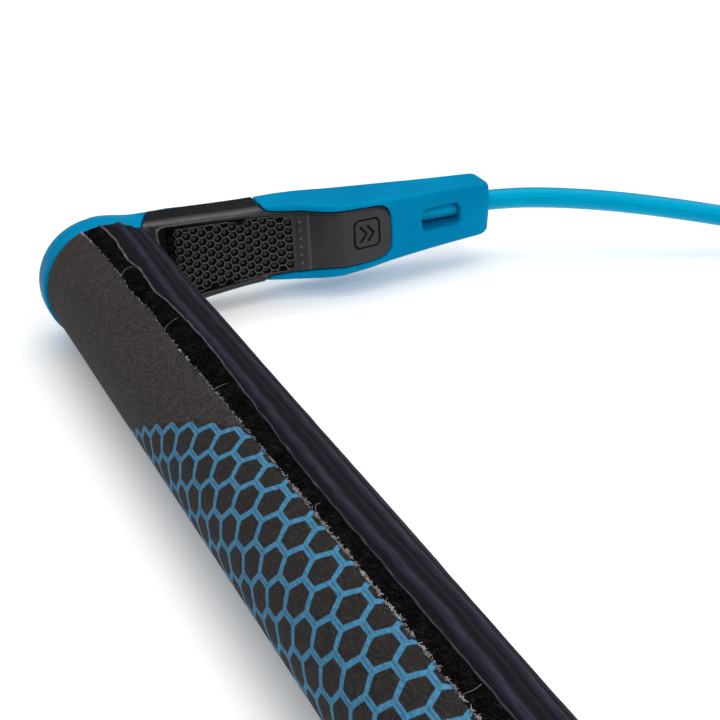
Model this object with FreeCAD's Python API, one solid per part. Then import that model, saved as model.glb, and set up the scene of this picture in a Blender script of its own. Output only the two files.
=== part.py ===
import FreeCAD, Part
import math
import os

# Tow rope handle for wakeboarding: a padded bar, a moulded elbow and arm at each end, one coated
# line that runs through both arms and the bar, and a bridle that ends in a tow loop.
# Units are millimetres. X runs along the bar, +Y from the bar towards the boat, +Z is up.
# The origin is the centre of the footprint of the bar and arms on the surface that they lie on.

Vec = FreeCAD.Vector
X_AXIS = Vec(1, 0, 0)

# ---- driving dimensions ----
HANDLE_WIDTH = 381.0      # over both elbows, a 15 inch handle
ELBOW_R = 16.6            # ball of the elbow
GRIP_R = 16.0             # outside of the wrapped grip
ARM_REACH = 105.0         # bar axis to the end of the arm
LINE_R = 2.8              # coated line
LINE_PLAY = 0.1           # radial room round the line in its channel

HALF = HANDLE_WIDTH / 2 - ELBOW_R     # bar's middle to an elbow's centre
BAR_Y = -(ARM_REACH - ELBOW_R) / 2
BAR_Z = ELBOW_R
TO_PART = Vec(0, BAR_Y, BAR_Z)        # the bar's middle in the part's frame

# The bar's layers, from the inside out, as radii.
TUBE_IN_R = 11.1
TUBE_R = 12.7
FOAM_R = 14.4
UNDERLAY_R = 15.2
PILE_R = 15.8
TUBE_START = 1.0          # from the elbow's centre to the tube's end
COLLAR = 4.0              # from the elbow's centre to the end of the elbow's collar

# Where each outer layer lies round the bar, in degrees from +Y towards +Z.
FOLD_FROM = -28.0
BINDING_FROM = 86.5
PILE_FROM = 89.0
WRAP_FROM = 104.0

# The arm's sections: distance from the bar axis, outer and inner side, lower and upper side.
# All are measured from the elbow's centre, the sides inwards along the bar.
ARM_SECTIONS = (
    (2.0, -11.0, 3.4, -13.6, 13.6),
    (12.0, -9.2, 2.6, -12.8, 12.8),
    (22.0, -8.2, 2.5, -12.0, 12.0),
    (42.0, -7.2, 3.0, -10.7, 10.7),
    (48.0, -6.9, 4.7, -11.0, 10.6),
    (53.0, -6.5, 6.6, -11.2, 10.4),
    (58.0, -6.0, 9.4, -11.0, 10.0),
    (63.0, -5.5, 11.4, -10.5, 9.5),
    (69.0, -4.9, 11.4, -10.0, 9.0),
    (77.0, -4.1, 10.8, -9.5, 8.5),
    (91.0, -2.2, 10.6, -8.8, 7.8),
    (105.0, -0.4, 10.9, -8.2, 7.2),
)
ARM_CORNER_R = 2.6

# The line's channel in an arm, as points from the elbow's centre.
CHANNEL_CORNER = -6.0     # where the arm's run of the line would meet the bar's axis
CHANNEL_EXIT = 6.2
CHANNEL_BEND_R = 13.0

# The rigid insert that joins a tube end and an arm.
SPIGOT_R = 11.0
SPIGOT_END = 31.0
KNUCKLE_R = 11.5
TANG_WIDTH = 7.6
TANG_HALF_HEIGHT = 6.8
TANG_END = 27.0
RIVET_R = 1.6
RIVET_AT = 19.0
RIVET_FOOT = 7.0

# The finger guard's outline seen from above, from the elbow's centre.
GUARD_OUTER = -6.3
GUARD_SADDLE = (14.2, 44.5)
GUARD_PAD_END = 76.5
GUARD_SKIN = 3.0
GUARD_PAD_HALF_HEIGHT = (8.3, 6.6)

# The window in the arm's inner side.
WINDOW = (85.6, 96.4)
WINDOW_HALF_HEIGHT = 3.1

# The put-away bridle. The left coil's middle, its rings and its layers.
COIL_MIDDLE = (-83.0, 138.0)
COIL_OUT_R = 42.0
COIL_IN_R = 21.6
COIL_FOOT = 1.0
COIL_TOP = 12.4
TIE_ANGLE = -62.0
TIE_WIDTH = 14.0
TIE_WALL = 1.0

# The left line's route from the arm's end to the coil, and from the coil to the yoke.
LEAD_ROUTE = (
    (-167.7, 60.8, 16.8),
    (-165.3, 67.8, 17.0),
    (-159.9, 78.3, 16.8),
    (-151.9, 92.3, 15.6),
    (-141.9, 108.3, 13.2),
    (-130.2, 129.3, 8.6),
    (-123.4, 142.6, 4.2),
    (-117.1, 156.9, 3.8),
)
TAIL_ROUTE = (
    (-83.0, 177.0, 9.5),
    (-67.0, 176.5, 9.4),
    (-50.0, 173.0, 7.8),
    (-33.0, 165.0, 5.6),
    (-19.0, 152.5, 4.6),
    (-8.5, 137.5, 4.4),
    (-4.2, 124.0, 4.4),
)
YOKE_Y = (92.0, 124.0)
YOKE_WIDTH = 20.0
YOKE_HEIGHT = 8.8
LOOP_ROUTE = (
    (-4.2, 92.0, 4.4),
    (-5.2, 77.5, 4.3),
    (-20.0, 62.3, 4.2),
    (-20.0, 45.7, 4.2),
    (-8.3, 34.0, 4.2),
    (8.3, 34.0, 4.2),
    (20.0, 45.7, 4.2),
    (20.0, 62.3, 4.2),
    (5.2, 77.5, 4.3),
    (4.2, 92.0, 4.4),
)
SLEEVE_R = 4.1
SLEEVE_RUNS = (2, 7)      # the loop's corners between which the chafe sleeve lies


# ---- helpers ----
def rounded_path(points, share=0.45):
    """Straight runs joined by tangent arcs, with each arc's radius from the shorter of its two runs."""
    points = [Vec(*p) for p in points]
    edges, radii = [], []
    at = points[0]
    for before, corner, after in zip(points, points[1:], points[2:]):
        back, ahead = before - corner, after - corner
        turn = math.pi - back.getAngle(ahead)
        cut = share * min(back.Length, ahead.Length)
        radii.append(cut / math.tan(turn / 2))
        back.normalize()
        ahead.normalize()
        start, end = corner + back * cut, corner + ahead * cut
        middle = back + ahead
        middle.normalize()
        reach = math.hypot(radii[-1], cut) - radii[-1]
        edges.append(Part.LineSegment(at, start).toShape())
        edges.append(Part.Arc(start, corner + middle * reach, end).toShape())
        at = end
    edges.append(Part.LineSegment(at, points[-1]).toShape())
    return Part.Wire(edges), radii


def pipe(path, radius):
    """A round bar along a path."""
    start = path.Edges[0]
    direction = start.tangentAt(start.FirstParameter)
    ring = Part.Wire(Part.makeCircle(radius, start.valueAt(start.FirstParameter), direction))
    return path.makePipeShell([ring], True, False)


def tube_along(name, points, radius=LINE_R):
    """A line's tube along hand-placed points. It prints its radii and compares its volume."""
    path, radii = rounded_path(points)
    solid = pipe(path, radius)
    expected = math.pi * radius ** 2 * path.Length
    print(f"{name}: {path.Length:.0f} mm, volume ratio {solid.Volume / expected:.4f}, radii",
          " ".join(f"{r:.0f}" for r in radii))
    return solid


def ring(r_in, r_out, x_from, x_to):
    """A tube round the bar's axis."""
    length = x_to - x_from
    outer = Part.makeCylinder(r_out, length, Vec(x_from, 0, 0), X_AXIS)
    return outer.cut(Part.makeCylinder(r_in, length, Vec(x_from, 0, 0), X_AXIS))


def shell_sector(r_in, r_out, start, end, x_from, x_to):
    """Part of a tube round the bar's axis, between two angles."""
    corners = [Vec(x_from, r_in, 0), Vec(x_to, r_in, 0), Vec(x_to, r_out, 0), Vec(x_from, r_out, 0)]
    face = Part.Face(Part.makePolygon(corners + corners[:1]))
    face.rotate(Vec(), X_AXIS, start)
    return face.revolve(Vec(), X_AXIS, end - start)


def plan_prism(points, low, high):
    """An outline seen from above, pulled up from low to high."""
    corners = [Vec(x, y, low) for x, y in points]
    return Part.Face(Part.makePolygon(corners + corners[:1])).extrude(Vec(0, 0, high - low))


def arm_section(y, x0, x1, z0, z1, corner):
    """A rounded rectangle across the arm."""
    diagonal = corner * (1 - math.sqrt(0.5))

    def line(a, b):
        return Part.LineSegment(Vec(a[0], y, a[1]), Vec(b[0], y, b[1])).toShape()

    def arc(a, b, c):
        return Part.Arc(Vec(a[0], y, a[1]), Vec(b[0], y, b[1]), Vec(c[0], y, c[1])).toShape()

    edges = [
        line((x0 + corner, z0), (x1 - corner, z0)),
        arc((x1 - corner, z0), (x1 - diagonal, z0 + diagonal), (x1, z0 + corner)),
        line((x1, z0 + corner), (x1, z1 - corner)),
        arc((x1, z1 - corner), (x1 - diagonal, z1 - diagonal), (x1 - corner, z1)),
        line((x1 - corner, z1), (x0 + corner, z1)),
        arc((x0 + corner, z1), (x0 + diagonal, z1 - diagonal), (x0, z1 - corner)),
        line((x0, z1 - corner), (x0, z0 + corner)),
        arc((x0, z0 + corner), (x0 + diagonal, z0 + diagonal), (x0 + corner, z0)),
    ]
    return Part.Wire(edges)


# ---- one end of the handle, with the elbow's centre at 0, 0, 0 and the bar along +X ----
def channel(radius, bar_run):
    """The line's way from the arm's end, round the elbow and along the bar."""
    exit_point = Vec(CHANNEL_EXIT, ARM_REACH, LEAD_ROUTE[0][2] - BAR_Z)
    corner = Vec(CHANNEL_CORNER, 0, 0)
    to_exit = (exit_point - corner).normalize()
    turn = math.pi - to_exit.getAngle(X_AXIS)
    cut = CHANNEL_BEND_R * math.tan(turn / 2)
    start, end = corner + to_exit * cut, corner + X_AXIS * cut
    middle = (to_exit + X_AXIS).normalize()
    reach = math.hypot(CHANNEL_BEND_R, cut) - CHANNEL_BEND_R
    path = Part.Wire([
        Part.LineSegment(exit_point, start).toShape(),
        Part.Arc(start, corner + middle * reach, end).toShape(),
        Part.LineSegment(end, Vec(bar_run, 0, 0)).toShape(),
    ])
    return pipe(path, radius)


def arm_body():
    """The elbow's ball and collar with the arm, as one outer form."""
    sections = [arm_section(*section, ARM_CORNER_R) for section in ARM_SECTIONS]
    arm = Part.makeLoft(sections, True, True)
    ball = Part.makeSphere(ELBOW_R).cut(Part.makeBox(60, 60, 60, Vec(0, -30, -30)))
    collar = Part.makeCylinder(ELBOW_R, COLLAR, Vec(), X_AXIS)
    body = arm.fuse([ball, collar]).removeSplitter()
    body = body.cut(Part.makeCylinder(TUBE_R, 60, Vec(TUBE_START, 0, 0), X_AXIS))
    return body.cut(Part.makeCylinder(GRIP_R, 60, Vec(COLLAR, 0, 0), X_AXIS))


def insert_body():
    """The insert: a spigot in the tube, a knuckle in the elbow and a tang in the arm."""
    lean = math.atan2(CHANNEL_EXIT - CHANNEL_CORNER, ARM_REACH)
    spigot = Part.makeCylinder(SPIGOT_R, SPIGOT_END, Vec(), X_AXIS)
    knuckle = Part.makeSphere(KNUCKLE_R).cut(Part.makeBox(60, 60, 60, Vec(0, -30, -30)))
    tang = Part.makeBox(TANG_WIDTH, TANG_END, 2 * TANG_HALF_HEIGHT,
                        Vec(-TANG_WIDTH / 2, 0, -TANG_HALF_HEIGHT))
    tang.rotate(Vec(), Vec(0, 0, 1), -math.degrees(lean))
    tang.translate(Vec(CHANNEL_CORNER, 0, 0))
    step = Part.makeCylinder(TUBE_R, 60, Vec(TUBE_START, 0, 0), X_AXIS)
    tang = tang.cut(step)
    return spigot.fuse([knuckle, tang]).removeSplitter()


def guard_region():
    """The space of the finger guard: a saddle over the arm's root and a pad on its inner side."""
    near, far = GUARD_SADDLE
    slope = (COLLAR - GUARD_OUTER) * 0.42
    reach = 16.0
    saddle = plan_prism([
        (GUARD_OUTER, near), (COLLAR, near - slope), (reach, near - slope - 5),
        (reach, far), (GUARD_OUTER, far),
    ], -20, 20)
    pad = plan_prism([
        (1.0, far - 1), (3.9, 53.0), (11.4 - GUARD_SKIN, 63.0), (10.8 - GUARD_SKIN, GUARD_PAD_END),
        (reach, GUARD_PAD_END), (reach, far - 1),
    ], -20, 20)
    tall, low = GUARD_PAD_HALF_HEIGHT
    side = [Vec(-20, far - 1, tall), Vec(-20, GUARD_PAD_END, low),
            Vec(-20, GUARD_PAD_END, -low), Vec(-20, far - 1, -tall)]
    pad = pad.common(Part.Face(Part.makePolygon(side + side[:1])).extrude(Vec(60, 0, 0)))
    return saddle.fuse(pad)


def window_cut():
    """The rounded slot that shows the line inside the arm."""
    near, far = WINDOW
    r = WINDOW_HALF_HEIGHT
    slot = Part.makeBox(12, far - near - 2 * r, 2 * r, Vec(4, near + r, -r))
    ends = [Part.makeCylinder(r, 12, Vec(4, y, 0), X_AXIS) for y in (near + r, far - r)]
    return slot.fuse(ends).removeSplitter()


def rivet(sign):
    """One rivet through the tube wall into the spigot."""
    return Part.makeCylinder(RIVET_R, TUBE_R - RIVET_FOOT, Vec(RIVET_AT, 0, sign * RIVET_FOOT),
                             Vec(0, 0, sign))


def make_end():
    """The separate pieces of the left end, in the part's frame."""
    bore = channel(LINE_R + LINE_PLAY, SPIGOT_END + 5)
    body, insert, region = arm_body(), insert_body(), guard_region()
    rivets = [rivet(1), rivet(-1)]
    pieces = {
        "elbow_arm": body.cut([insert, region, bore, window_cut()]),
        "finger_guard": body.common(region).cut([insert, bore]),
        "elbow_insert": insert.cut([bore] + rivets),
        "insert_rivets": Part.makeCompound(rivets),
    }
    for shape in pieces.values():
        shape.translate(TO_PART + Vec(-HALF, 0, 0))
    return pieces


# ---- the bar ----
def make_bar():
    """The bar's tube and its layers."""
    tube_end, layer_end = HALF - TUBE_START, HALF - COLLAR
    tube = ring(TUBE_IN_R, TUBE_R, -tube_end, tube_end)
    rivets = [rivet(sign) for sign in (1, -1)]
    for piece in rivets:
        piece.translate(Vec(-HALF, 0, 0))
    rivets += [piece.mirror(Vec(), X_AXIS) for piece in rivets]
    pieces = {
        "core_tube": tube.cut(rivets),
        "grip_sleeve": ring(TUBE_R, FOAM_R, -layer_end, layer_end),
        "fabric_underlay": ring(FOAM_R, UNDERLAY_R, -layer_end, layer_end),
        "fabric_fold": shell_sector(UNDERLAY_R, GRIP_R, FOLD_FROM, BINDING_FROM, -layer_end, layer_end),
        "fold_binding": shell_sector(UNDERLAY_R, GRIP_R, BINDING_FROM, PILE_FROM, -layer_end, layer_end),
        "pile_strip": shell_sector(UNDERLAY_R, PILE_R, PILE_FROM, WRAP_FROM, -layer_end, layer_end),
        "grip_wrap": shell_sector(UNDERLAY_R, GRIP_R, WRAP_FROM, FOLD_FROM + 360, -layer_end, layer_end),
    }
    half_line = channel(LINE_R, HALF)
    half_line.translate(Vec(-HALF, 0, 0))
    pieces["inner_line"] = half_line.fuse(half_line.mirror(Vec(), X_AXIS)).removeSplitter()
    for shape in pieces.values():
        shape.translate(TO_PART)
    return pieces


# ---- the put-away bridle ----
def coil_form():
    """The outer form of the left coil."""
    foot = Vec(*COIL_MIDDLE, COIL_FOOT)
    height = COIL_TOP - COIL_FOOT
    return Part.makeCylinder(COIL_OUT_R, height, foot).cut(Part.makeCylinder(COIL_IN_R, height, foot))


def coil_tie():
    """The strap that is wrapped round the coil's turns."""
    def block(grow):
        return Part.makeBox(COIL_OUT_R - COIL_IN_R + 2 * grow, TIE_WIDTH, COIL_TOP - COIL_FOOT + 2 * grow,
                            Vec(COIL_IN_R - grow, -TIE_WIDTH / 2, COIL_FOOT - grow))

    hole = Part.makeBox(COIL_OUT_R - COIL_IN_R + 1.6, TIE_WIDTH, COIL_TOP - COIL_FOOT,
                        Vec(COIL_IN_R - 1.4, -TIE_WIDTH / 2, COIL_FOOT))
    strap = block(TIE_WALL + 0.4).cut(hole)
    strap = strap.cut(Part.makeBox(120, 60, 20, Vec(0, -30, -20)))
    strap.rotate(Vec(), Vec(0, 0, 1), TIE_ANGLE)
    strap.translate(Vec(*COIL_MIDDLE, 0))
    return strap.cut(coil_form())


def make_bridle():
    """The left line outside the arm, its coil and the coil's tie."""
    coil = coil_form()
    return {
        "bridle_lead": tube_along("bridle_lead", LEAD_ROUTE).cut(coil),
        "bridle_tail": tube_along("bridle_tail", TAIL_ROUTE).cut(coil),
        "bridle_coil": coil,
        "coil_tie": coil_tie(),
    }


def make_tow_end():
    """The yoke that joins both lines, the tow loop and its chafe sleeve."""
    near, far = YOKE_Y
    yoke = Part.makeBox(YOKE_WIDTH, far - near, YOKE_HEIGHT, Vec(-YOKE_WIDTH / 2, near, 0))
    yoke = yoke.makeFillet(2.5, [e for e in yoke.Edges if abs(e.tangentAt(0).y) > 0.9])
    loop = tube_along("tow_loop", LOOP_ROUTE)
    first, last = SLEEVE_RUNS
    cover = LOOP_ROUTE[first:last + 1]
    sleeve = pipe(rounded_path(cover)[0], SLEEVE_R).cut(loop)
    return {"bridle_yoke": yoke, "tow_loop": loop, "loop_sleeve": sleeve}


# ---- export ----
def export(name, shape):
    """Writes one piece and says what it is."""
    shape.exportStep(f"parts/{name}.step")
    box = shape.BoundBox
    print(f"{name}: solids {len(shape.Solids)}, valid {shape.isValid()}, volume {shape.Volume:.0f},"
          f" x {box.XMin:.1f} {box.XMax:.1f}, y {box.YMin:.1f} {box.YMax:.1f},"
          f" z {box.ZMin:.1f} {box.ZMax:.1f}")


os.makedirs("parts", exist_ok=True)
for name, shape in {**make_bar(), **make_tow_end()}.items():
    export(name, shape)
for name, shape in {**make_end(), **make_bridle()}.items():
    export(f"{name}_left", shape)
    export(f"{name}_right", shape.mirror(Vec(), X_AXIS))
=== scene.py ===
import math
import random
from functools import partialmethod

import bmesh
import bpy
import numpy as np
from mathutils import Matrix, Vector


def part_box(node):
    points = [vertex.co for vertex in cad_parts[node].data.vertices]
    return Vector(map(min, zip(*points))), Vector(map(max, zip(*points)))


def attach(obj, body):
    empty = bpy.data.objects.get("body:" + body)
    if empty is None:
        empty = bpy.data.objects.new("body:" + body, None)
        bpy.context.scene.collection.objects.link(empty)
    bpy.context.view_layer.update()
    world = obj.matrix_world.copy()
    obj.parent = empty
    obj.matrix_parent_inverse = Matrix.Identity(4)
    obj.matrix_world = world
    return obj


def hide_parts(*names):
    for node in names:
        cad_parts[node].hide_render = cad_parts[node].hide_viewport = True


# Tow rope handle: a padded bar, a moulded elbow and arm at each end, and a coated line that goes
# through both arms to a yoke and a tow loop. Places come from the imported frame, in metres.
# Most shapes are worked out for the left end in millimetres from the elbow's centre: u along the
# bar, v along the arm and w up. The right end is their mirror image.

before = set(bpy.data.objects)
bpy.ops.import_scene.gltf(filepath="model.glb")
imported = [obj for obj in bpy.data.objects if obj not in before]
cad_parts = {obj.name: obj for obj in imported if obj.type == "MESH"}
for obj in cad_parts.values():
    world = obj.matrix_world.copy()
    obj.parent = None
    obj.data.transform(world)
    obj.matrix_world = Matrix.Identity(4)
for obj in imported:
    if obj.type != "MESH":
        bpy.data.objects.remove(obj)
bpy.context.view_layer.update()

MM = 0.001
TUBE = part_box("core_tube")
AXIS_Y = (TUBE[0].y + TUBE[1].y) / 2
AXIS_Z = (TUBE[0].z + TUBE[1].z) / 2
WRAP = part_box("grip_wrap")
HALF_GRIP = WRAP[1].x / MM                      # from the bar's middle to the wrap's end
GRIP_R = (AXIS_Z - WRAP[0].z) / MM
COLLAR = 4.0                                    # from the elbow's centre to the wrap's end
HALF = HALF_GRIP + COLLAR                       # from the bar's middle to an elbow's centre
LINE_R = 2.8
ELBOW_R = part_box("elbow_arm_left")[1].z / MM / 2


# ---- camera, lights and floor ----
def make_camera():
    """A camera near the left elbow, looking down along the bar towards the arm."""
    data = bpy.data.cameras.new("camera")
    data.lens = 77.75
    data.sensor_width = 36.0
    data.clip_start = 0.01
    camera = bpy.data.objects.new("camera", data)
    right = Vector((0.4139, 0.9089, -0.0516)).normalized()
    back = Vector((0.8128, -0.3434, 0.4705)).normalized()
    up = back.cross(right)
    turn = Matrix((right, up, back)).transposed()
    camera.matrix_world = Matrix.Translation((0.18408, -0.12632, 0.18106)) @ turn.to_4x4()
    bpy.context.scene.collection.objects.link(camera)
    bpy.context.scene.camera = camera


def area_light(name, place, target, size, power):
    """A square soft light that faces a point."""
    data = bpy.data.lights.new(name, "AREA")
    data.size = size
    data.energy = power
    lamp = bpy.data.objects.new(name, data)
    lamp.location = place
    lamp.rotation_euler = (Vector(target) - Vector(place)).to_track_quat("-Z", "Y").to_euler()
    bpy.context.scene.collection.objects.link(lamp)


def make_stage():
    """A pale light table under soft studio light, in a room that is dark low down and bright above."""
    world = bpy.data.worlds.new("studio")
    world.use_nodes = True
    nodes, links = world.node_tree.nodes, world.node_tree.links
    direction = nodes.new("ShaderNodeTexCoord").outputs["Generated"]
    parts = nodes.new("ShaderNodeSeparateXYZ")
    rise = nodes.new("ShaderNodeMapRange")
    rise.interpolation_type = "SMOOTHSTEP"
    for socket, value in (("From Min", 0.50), ("From Max", 0.95), ("To Min", 0.03), ("To Max", 1.45)):
        rise.inputs[socket].default_value = value
    links.new(direction, parts.inputs[0])
    links.new(parts.outputs["Z"], rise.inputs["Value"])
    links.new(rise.outputs[0], nodes["Background"].inputs["Strength"])
    nodes["Background"].inputs["Color"].default_value = (1.0, 1.0, 1.0, 1.0)
    bpy.context.scene.world = world
    bpy.context.scene.view_settings.view_transform = "Standard"
    middle = (-0.12, 0.0, 0.01)
    area_light("key_light", (0.33, 0.05, 0.37), middle, 0.22, 1.1)
    area_light("top_light", (-0.25, 0.02, 0.75), middle, 0.50, 1.0)
    area_light("back_light", (-0.35, 0.75, 0.50), middle, 0.50, 0.9)
    mesh = bpy.data.meshes.new("floor")
    side = 4.0
    mesh.from_pydata([(-side, -side, 0), (side, -side, 0), (side, side, 0), (-side, side, 0)],
                     [], [(0, 1, 2, 3)])
    floor = bpy.data.objects.new("floor", mesh)
    bpy.context.scene.collection.objects.link(floor)
    mesh.materials.append(floor_paint())


# ---- materials ----
def srgb(red, green, blue):
    """A colour given as 0 to 255 on a screen, in linear light."""
    def linear(value):
        value /= 255
        return value / 12.92 if value <= 0.04045 else ((value + 0.055) / 1.055) ** 2.4
    return (linear(red), linear(green), linear(blue), 1.0)


class Finish:
    """A material whose node tree is made by short calls. Sockets and plain numbers both go in."""

    def __init__(self, name, **constants):
        self.material = bpy.data.materials.new(name)
        self.material.use_nodes = True
        self.tree = self.material.node_tree
        self.shader = self.tree.nodes["Principled BSDF"]
        self.set(**constants)

    def set(self, **sockets):
        """Feeds sockets of the shader, named with _ for each space."""
        for socket, value in sockets.items():
            self.feed(self.shader.inputs[socket.replace("_", " ")], value)

    def feed(self, socket, value):
        if isinstance(value, bpy.types.NodeSocket):
            self.tree.links.new(value, socket)
        else:
            socket.default_value = value

    def node(self, kind, inputs, **settings):
        """A new node's outputs. The inputs are values by the socket's name or number."""
        made = self.tree.nodes.new("ShaderNode" + kind)
        for name, value in settings.items():
            setattr(made, name, value)
        for socket, value in inputs.items():
            self.feed(made.inputs[socket], value)
        return made.outputs

    def in_mm(self, metres, stretch):
        scale = [1.0 / MM * s for s in stretch]
        return self.node("VectorMath", {0: metres, 1: scale}, operation="MULTIPLY")[0]

    def place(self, stretch=(1.0, 1.0, 1.0)):
        """The surface point in the part's frame, in millimetres, stretched by axis."""
        return self.in_mm(self.node("TexCoord", {})["Object"], stretch)

    def cloth(self, stretch=(1.0, 1.0, 1.0)):
        """The cloth's own coordinates in millimetres: X along it and Y across it."""
        return self.in_mm(self.node("UVMap", {})[0], stretch)

    def marks(self):
        """Two shares that the mesh holds for each point, such as how much painted highlight and painted
        shade it gets.
        """
        return self.split(self.node("UVMap", {}, uv_map="marks")[0])[:2]

    def split(self, vector):
        return self.node("SeparateXYZ", {0: vector})

    def count(self, operation, *values):
        return self.node("Math", dict(enumerate(values)), operation=operation)[0]

    plus = partialmethod(count, "ADD")
    minus = partialmethod(count, "SUBTRACT")
    times = partialmethod(count, "MULTIPLY")
    sine = partialmethod(count, "SINE")
    smaller = partialmethod(count, "MINIMUM")
    larger = partialmethod(count, "MAXIMUM")
    is_below = partialmethod(count, "LESS_THAN")
    back_and_forth = partialmethod(count, "PINGPONG")

    def span(self, value, low, high, to_low=0.0, to_high=1.0):
        """Value's part between low and high, as to_low to to_high, held at the ends."""
        return self.node("MapRange", {"Value": value, "From Min": low, "From Max": high,
                                      "To Min": to_low, "To Max": to_high})[0]

    def noise(self, vector, period, detail=3.0, roughness=0.55):
        """Noise from 0 to 1 whose blobs are about period millimetres across."""
        return self.node("TexNoise", {"Vector": vector, "Scale": 1.0 / period, "Detail": detail,
                                      "Roughness": roughness})["Fac"]

    def cells(self, vector, period):
        """Distance from the middles of scattered cells about period millimetres across."""
        return self.node("TexVoronoi", {"Vector": vector, "Scale": 1.0 / period})["Distance"]

    def mix(self, share, first, second):
        """Share of the second colour over the first."""
        return self.node("Mix", {0: share, 6: first, 7: second}, data_type="RGBA")[2]

    def bump(self, height, depth):
        """Height from 0 to 1, at depth millimetres."""
        self.set(Normal=self.node("Bump", {"Distance": depth * MM, "Height": height})[0])


COOL = (0.0, 0.55, 0.85, 1.0)      # the tint of the blue pieces' gloss


def floor_paint():
    paint = Finish("floor_paint", Roughness=0.75, Emission_Color=(1, 1, 1, 1), Emission_Strength=0.18)
    soft = paint.noise(paint.place(), 180.0, 2.0)
    paint.set(Base_Color=paint.mix(soft, (0.955, 0.955, 0.955, 1), (0.97, 0.97, 0.97, 1)))
    return paint.material


def coated_line_finish():
    """Glossy blue coating, with the braid under it showing faintly."""
    made = Finish("coated_line_finish", Roughness=0.34, Specular_IOR_Level=0.45, Specular_Tint=COOL)
    point = made.place()
    braid = made.cells(point, 1.1)
    shade = made.mix(made.noise(point, 9.0), srgb(0, 156, 198), srgb(0, 170, 211))
    made.set(Base_Color=made.mix(made.span(braid, 0.2, 0.7, 0.0, 0.12), shade, srgb(0, 120, 160)))
    made.bump(made.plus(made.noise(point, 1.6, 2.0), made.times(braid, 0.4)), 0.05)
    return made.material


# ---- cords ----
LEAD_POINTS = (
    (-0.1677, 0.0608, 0.0168),
    (-0.1653, 0.0678, 0.0170),
    (-0.1599, 0.0783, 0.0168),
    (-0.1519, 0.0923, 0.0156),
    (-0.1419, 0.1083, 0.0132),
    (-0.1302, 0.1293, 0.0086),
    (-0.1234, 0.1426, 0.0042),
)
TAIL_POINTS = (
    (-0.0670, 0.1765, 0.0094),
    (-0.0500, 0.1730, 0.0078),
    (-0.0330, 0.1650, 0.0056),
    (-0.0190, 0.1525, 0.0046),
    (-0.0085, 0.1375, 0.0044),
    (-0.0042, 0.1240, 0.0044),
)
HALF_LOOP = (
    (-0.0042, 0.0920, 0.0044),
    (-0.0052, 0.0775, 0.0043),
    (-0.0200, 0.0623, 0.0042),
    (-0.0200, 0.0457, 0.0042),
    (-0.0083, 0.0340, 0.0042),
)
COIL_MIDDLE = (-0.083, 0.138)
COIL_R = 0.039            # outermost turn's middle
COIL_START = 151.0        # where the line enters the coil, in degrees from +X
COIL_TURNS = 2.41         # in each layer
RISE_TURNS = 0.35         # between the layers
COIL_PITCH = 0.0058
LAYER_HEIGHTS = (0.0038, 0.0095)
TURN_POINTS = 24


def coil_points():
    """The left coil: in along the lower layer, up, and out along the upper layer."""
    points = []
    total = 2 * COIL_TURNS + RISE_TURNS
    for step in range(round(total * TURN_POINTS) + 1):
        turned = min(step / TURN_POINTS, total)
        climb = min(max((turned - COIL_TURNS) / RISE_TURNS, 0.0), 1.0)
        climb = climb * climb * (3 - 2 * climb)
        angle = math.radians(COIL_START - 360 * turned)
        radius = COIL_R - COIL_PITCH * min(turned, total - turned, COIL_TURNS)
        height = LAYER_HEIGHTS[0] + (LAYER_HEIGHTS[1] - LAYER_HEIGHTS[0]) * climb
        points.append((COIL_MIDDLE[0] + radius * math.cos(angle),
                       COIL_MIDDLE[1] + radius * math.sin(angle), height))
    return points


def mirrored(points):
    return [(-x, y, z) for x, y, z in points]


LOOP_POINTS = [*HALF_LOOP, *mirrored(HALF_LOOP)[::-1]]


def make_cord(name, points, line, stands_for):
    """A smooth cord on one NURBS spline, with the points as its control points. The points hold
    the cord's radius, so that the curve's own box is the cord's."""
    data = bpy.data.curves.new(name, "CURVE")
    data.dimensions = "3D"
    data.resolution_u = 6
    data.bevel_depth = 1.0
    data.bevel_resolution = 6
    data.use_fill_caps = True
    data.materials.append(line)
    spline = data.splines.new("NURBS")
    spline.points.add(len(points) - 1)
    for slot, point in zip(spline.points, points):
        slot.co = (*point, 1.0)
        slot.radius = LINE_R * MM
    spline.order_u = 3
    spline.use_endpoint_u = True
    cord = bpy.data.objects.new(name, data)
    bpy.context.scene.collection.objects.link(cord)
    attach(cord, "root")
    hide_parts(*stands_for)
    return cord


def make_cords(line):
    """Both legs of the bridle and the tow loop."""
    route = [*LEAD_POINTS, *coil_points(), *TAIL_POINTS]
    legs = [make_cord(f"bridle_leg_{side}", points, line,
                      [f"bridle_{part}_{side}" for part in ("lead", "coil", "tail")])
            for side, points in (("left", route), ("right", mirrored(route)))]
    return legs, make_cord("tow_line_loop", LOOP_POINTS, line, ["tow_loop"])


# ---- shapes from a field: a number at every point that is below 0 inside the shape ----
def soft_max(a, b, blend):
    """The larger of two fields, with an edge rounded over about blend millimetres."""
    share = np.clip(0.5 + 0.5 * (a - b) / blend, 0.0, 1.0)
    return b + (a - b) * share + blend * share * (1.0 - share)


def soft_min(a, b, blend):
    return -soft_max(-a, -b, blend)


def smooth_through(at, knots):
    """A smooth curve through knots of (at, value), with no overshoot."""
    x = np.array([k[0] for k in knots], float)
    y = np.array([k[1] for k in knots], float)
    slope = np.diff(y) / np.diff(x)
    before, after = slope[:-1], slope[1:]
    same = before * after > 0
    middle = np.where(same, 2 * before * after / np.where(same, before + after, 1.0), 0.0)
    tangent = np.concatenate([slope[:1], middle, slope[-1:]])
    at = np.clip(at, x[0], x[-1])
    i = np.clip(np.searchsorted(x, at) - 1, 0, len(x) - 2)
    width = x[i + 1] - x[i]
    t = (at - x[i]) / width
    return ((2 * t ** 3 - 3 * t ** 2 + 1) * y[i] + (t ** 3 - 2 * t ** 2 + t) * width * tangent[i]
            + (3 * t ** 2 - 2 * t ** 3) * y[i + 1] + (t ** 3 - t ** 2) * width * tangent[i + 1])


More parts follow.
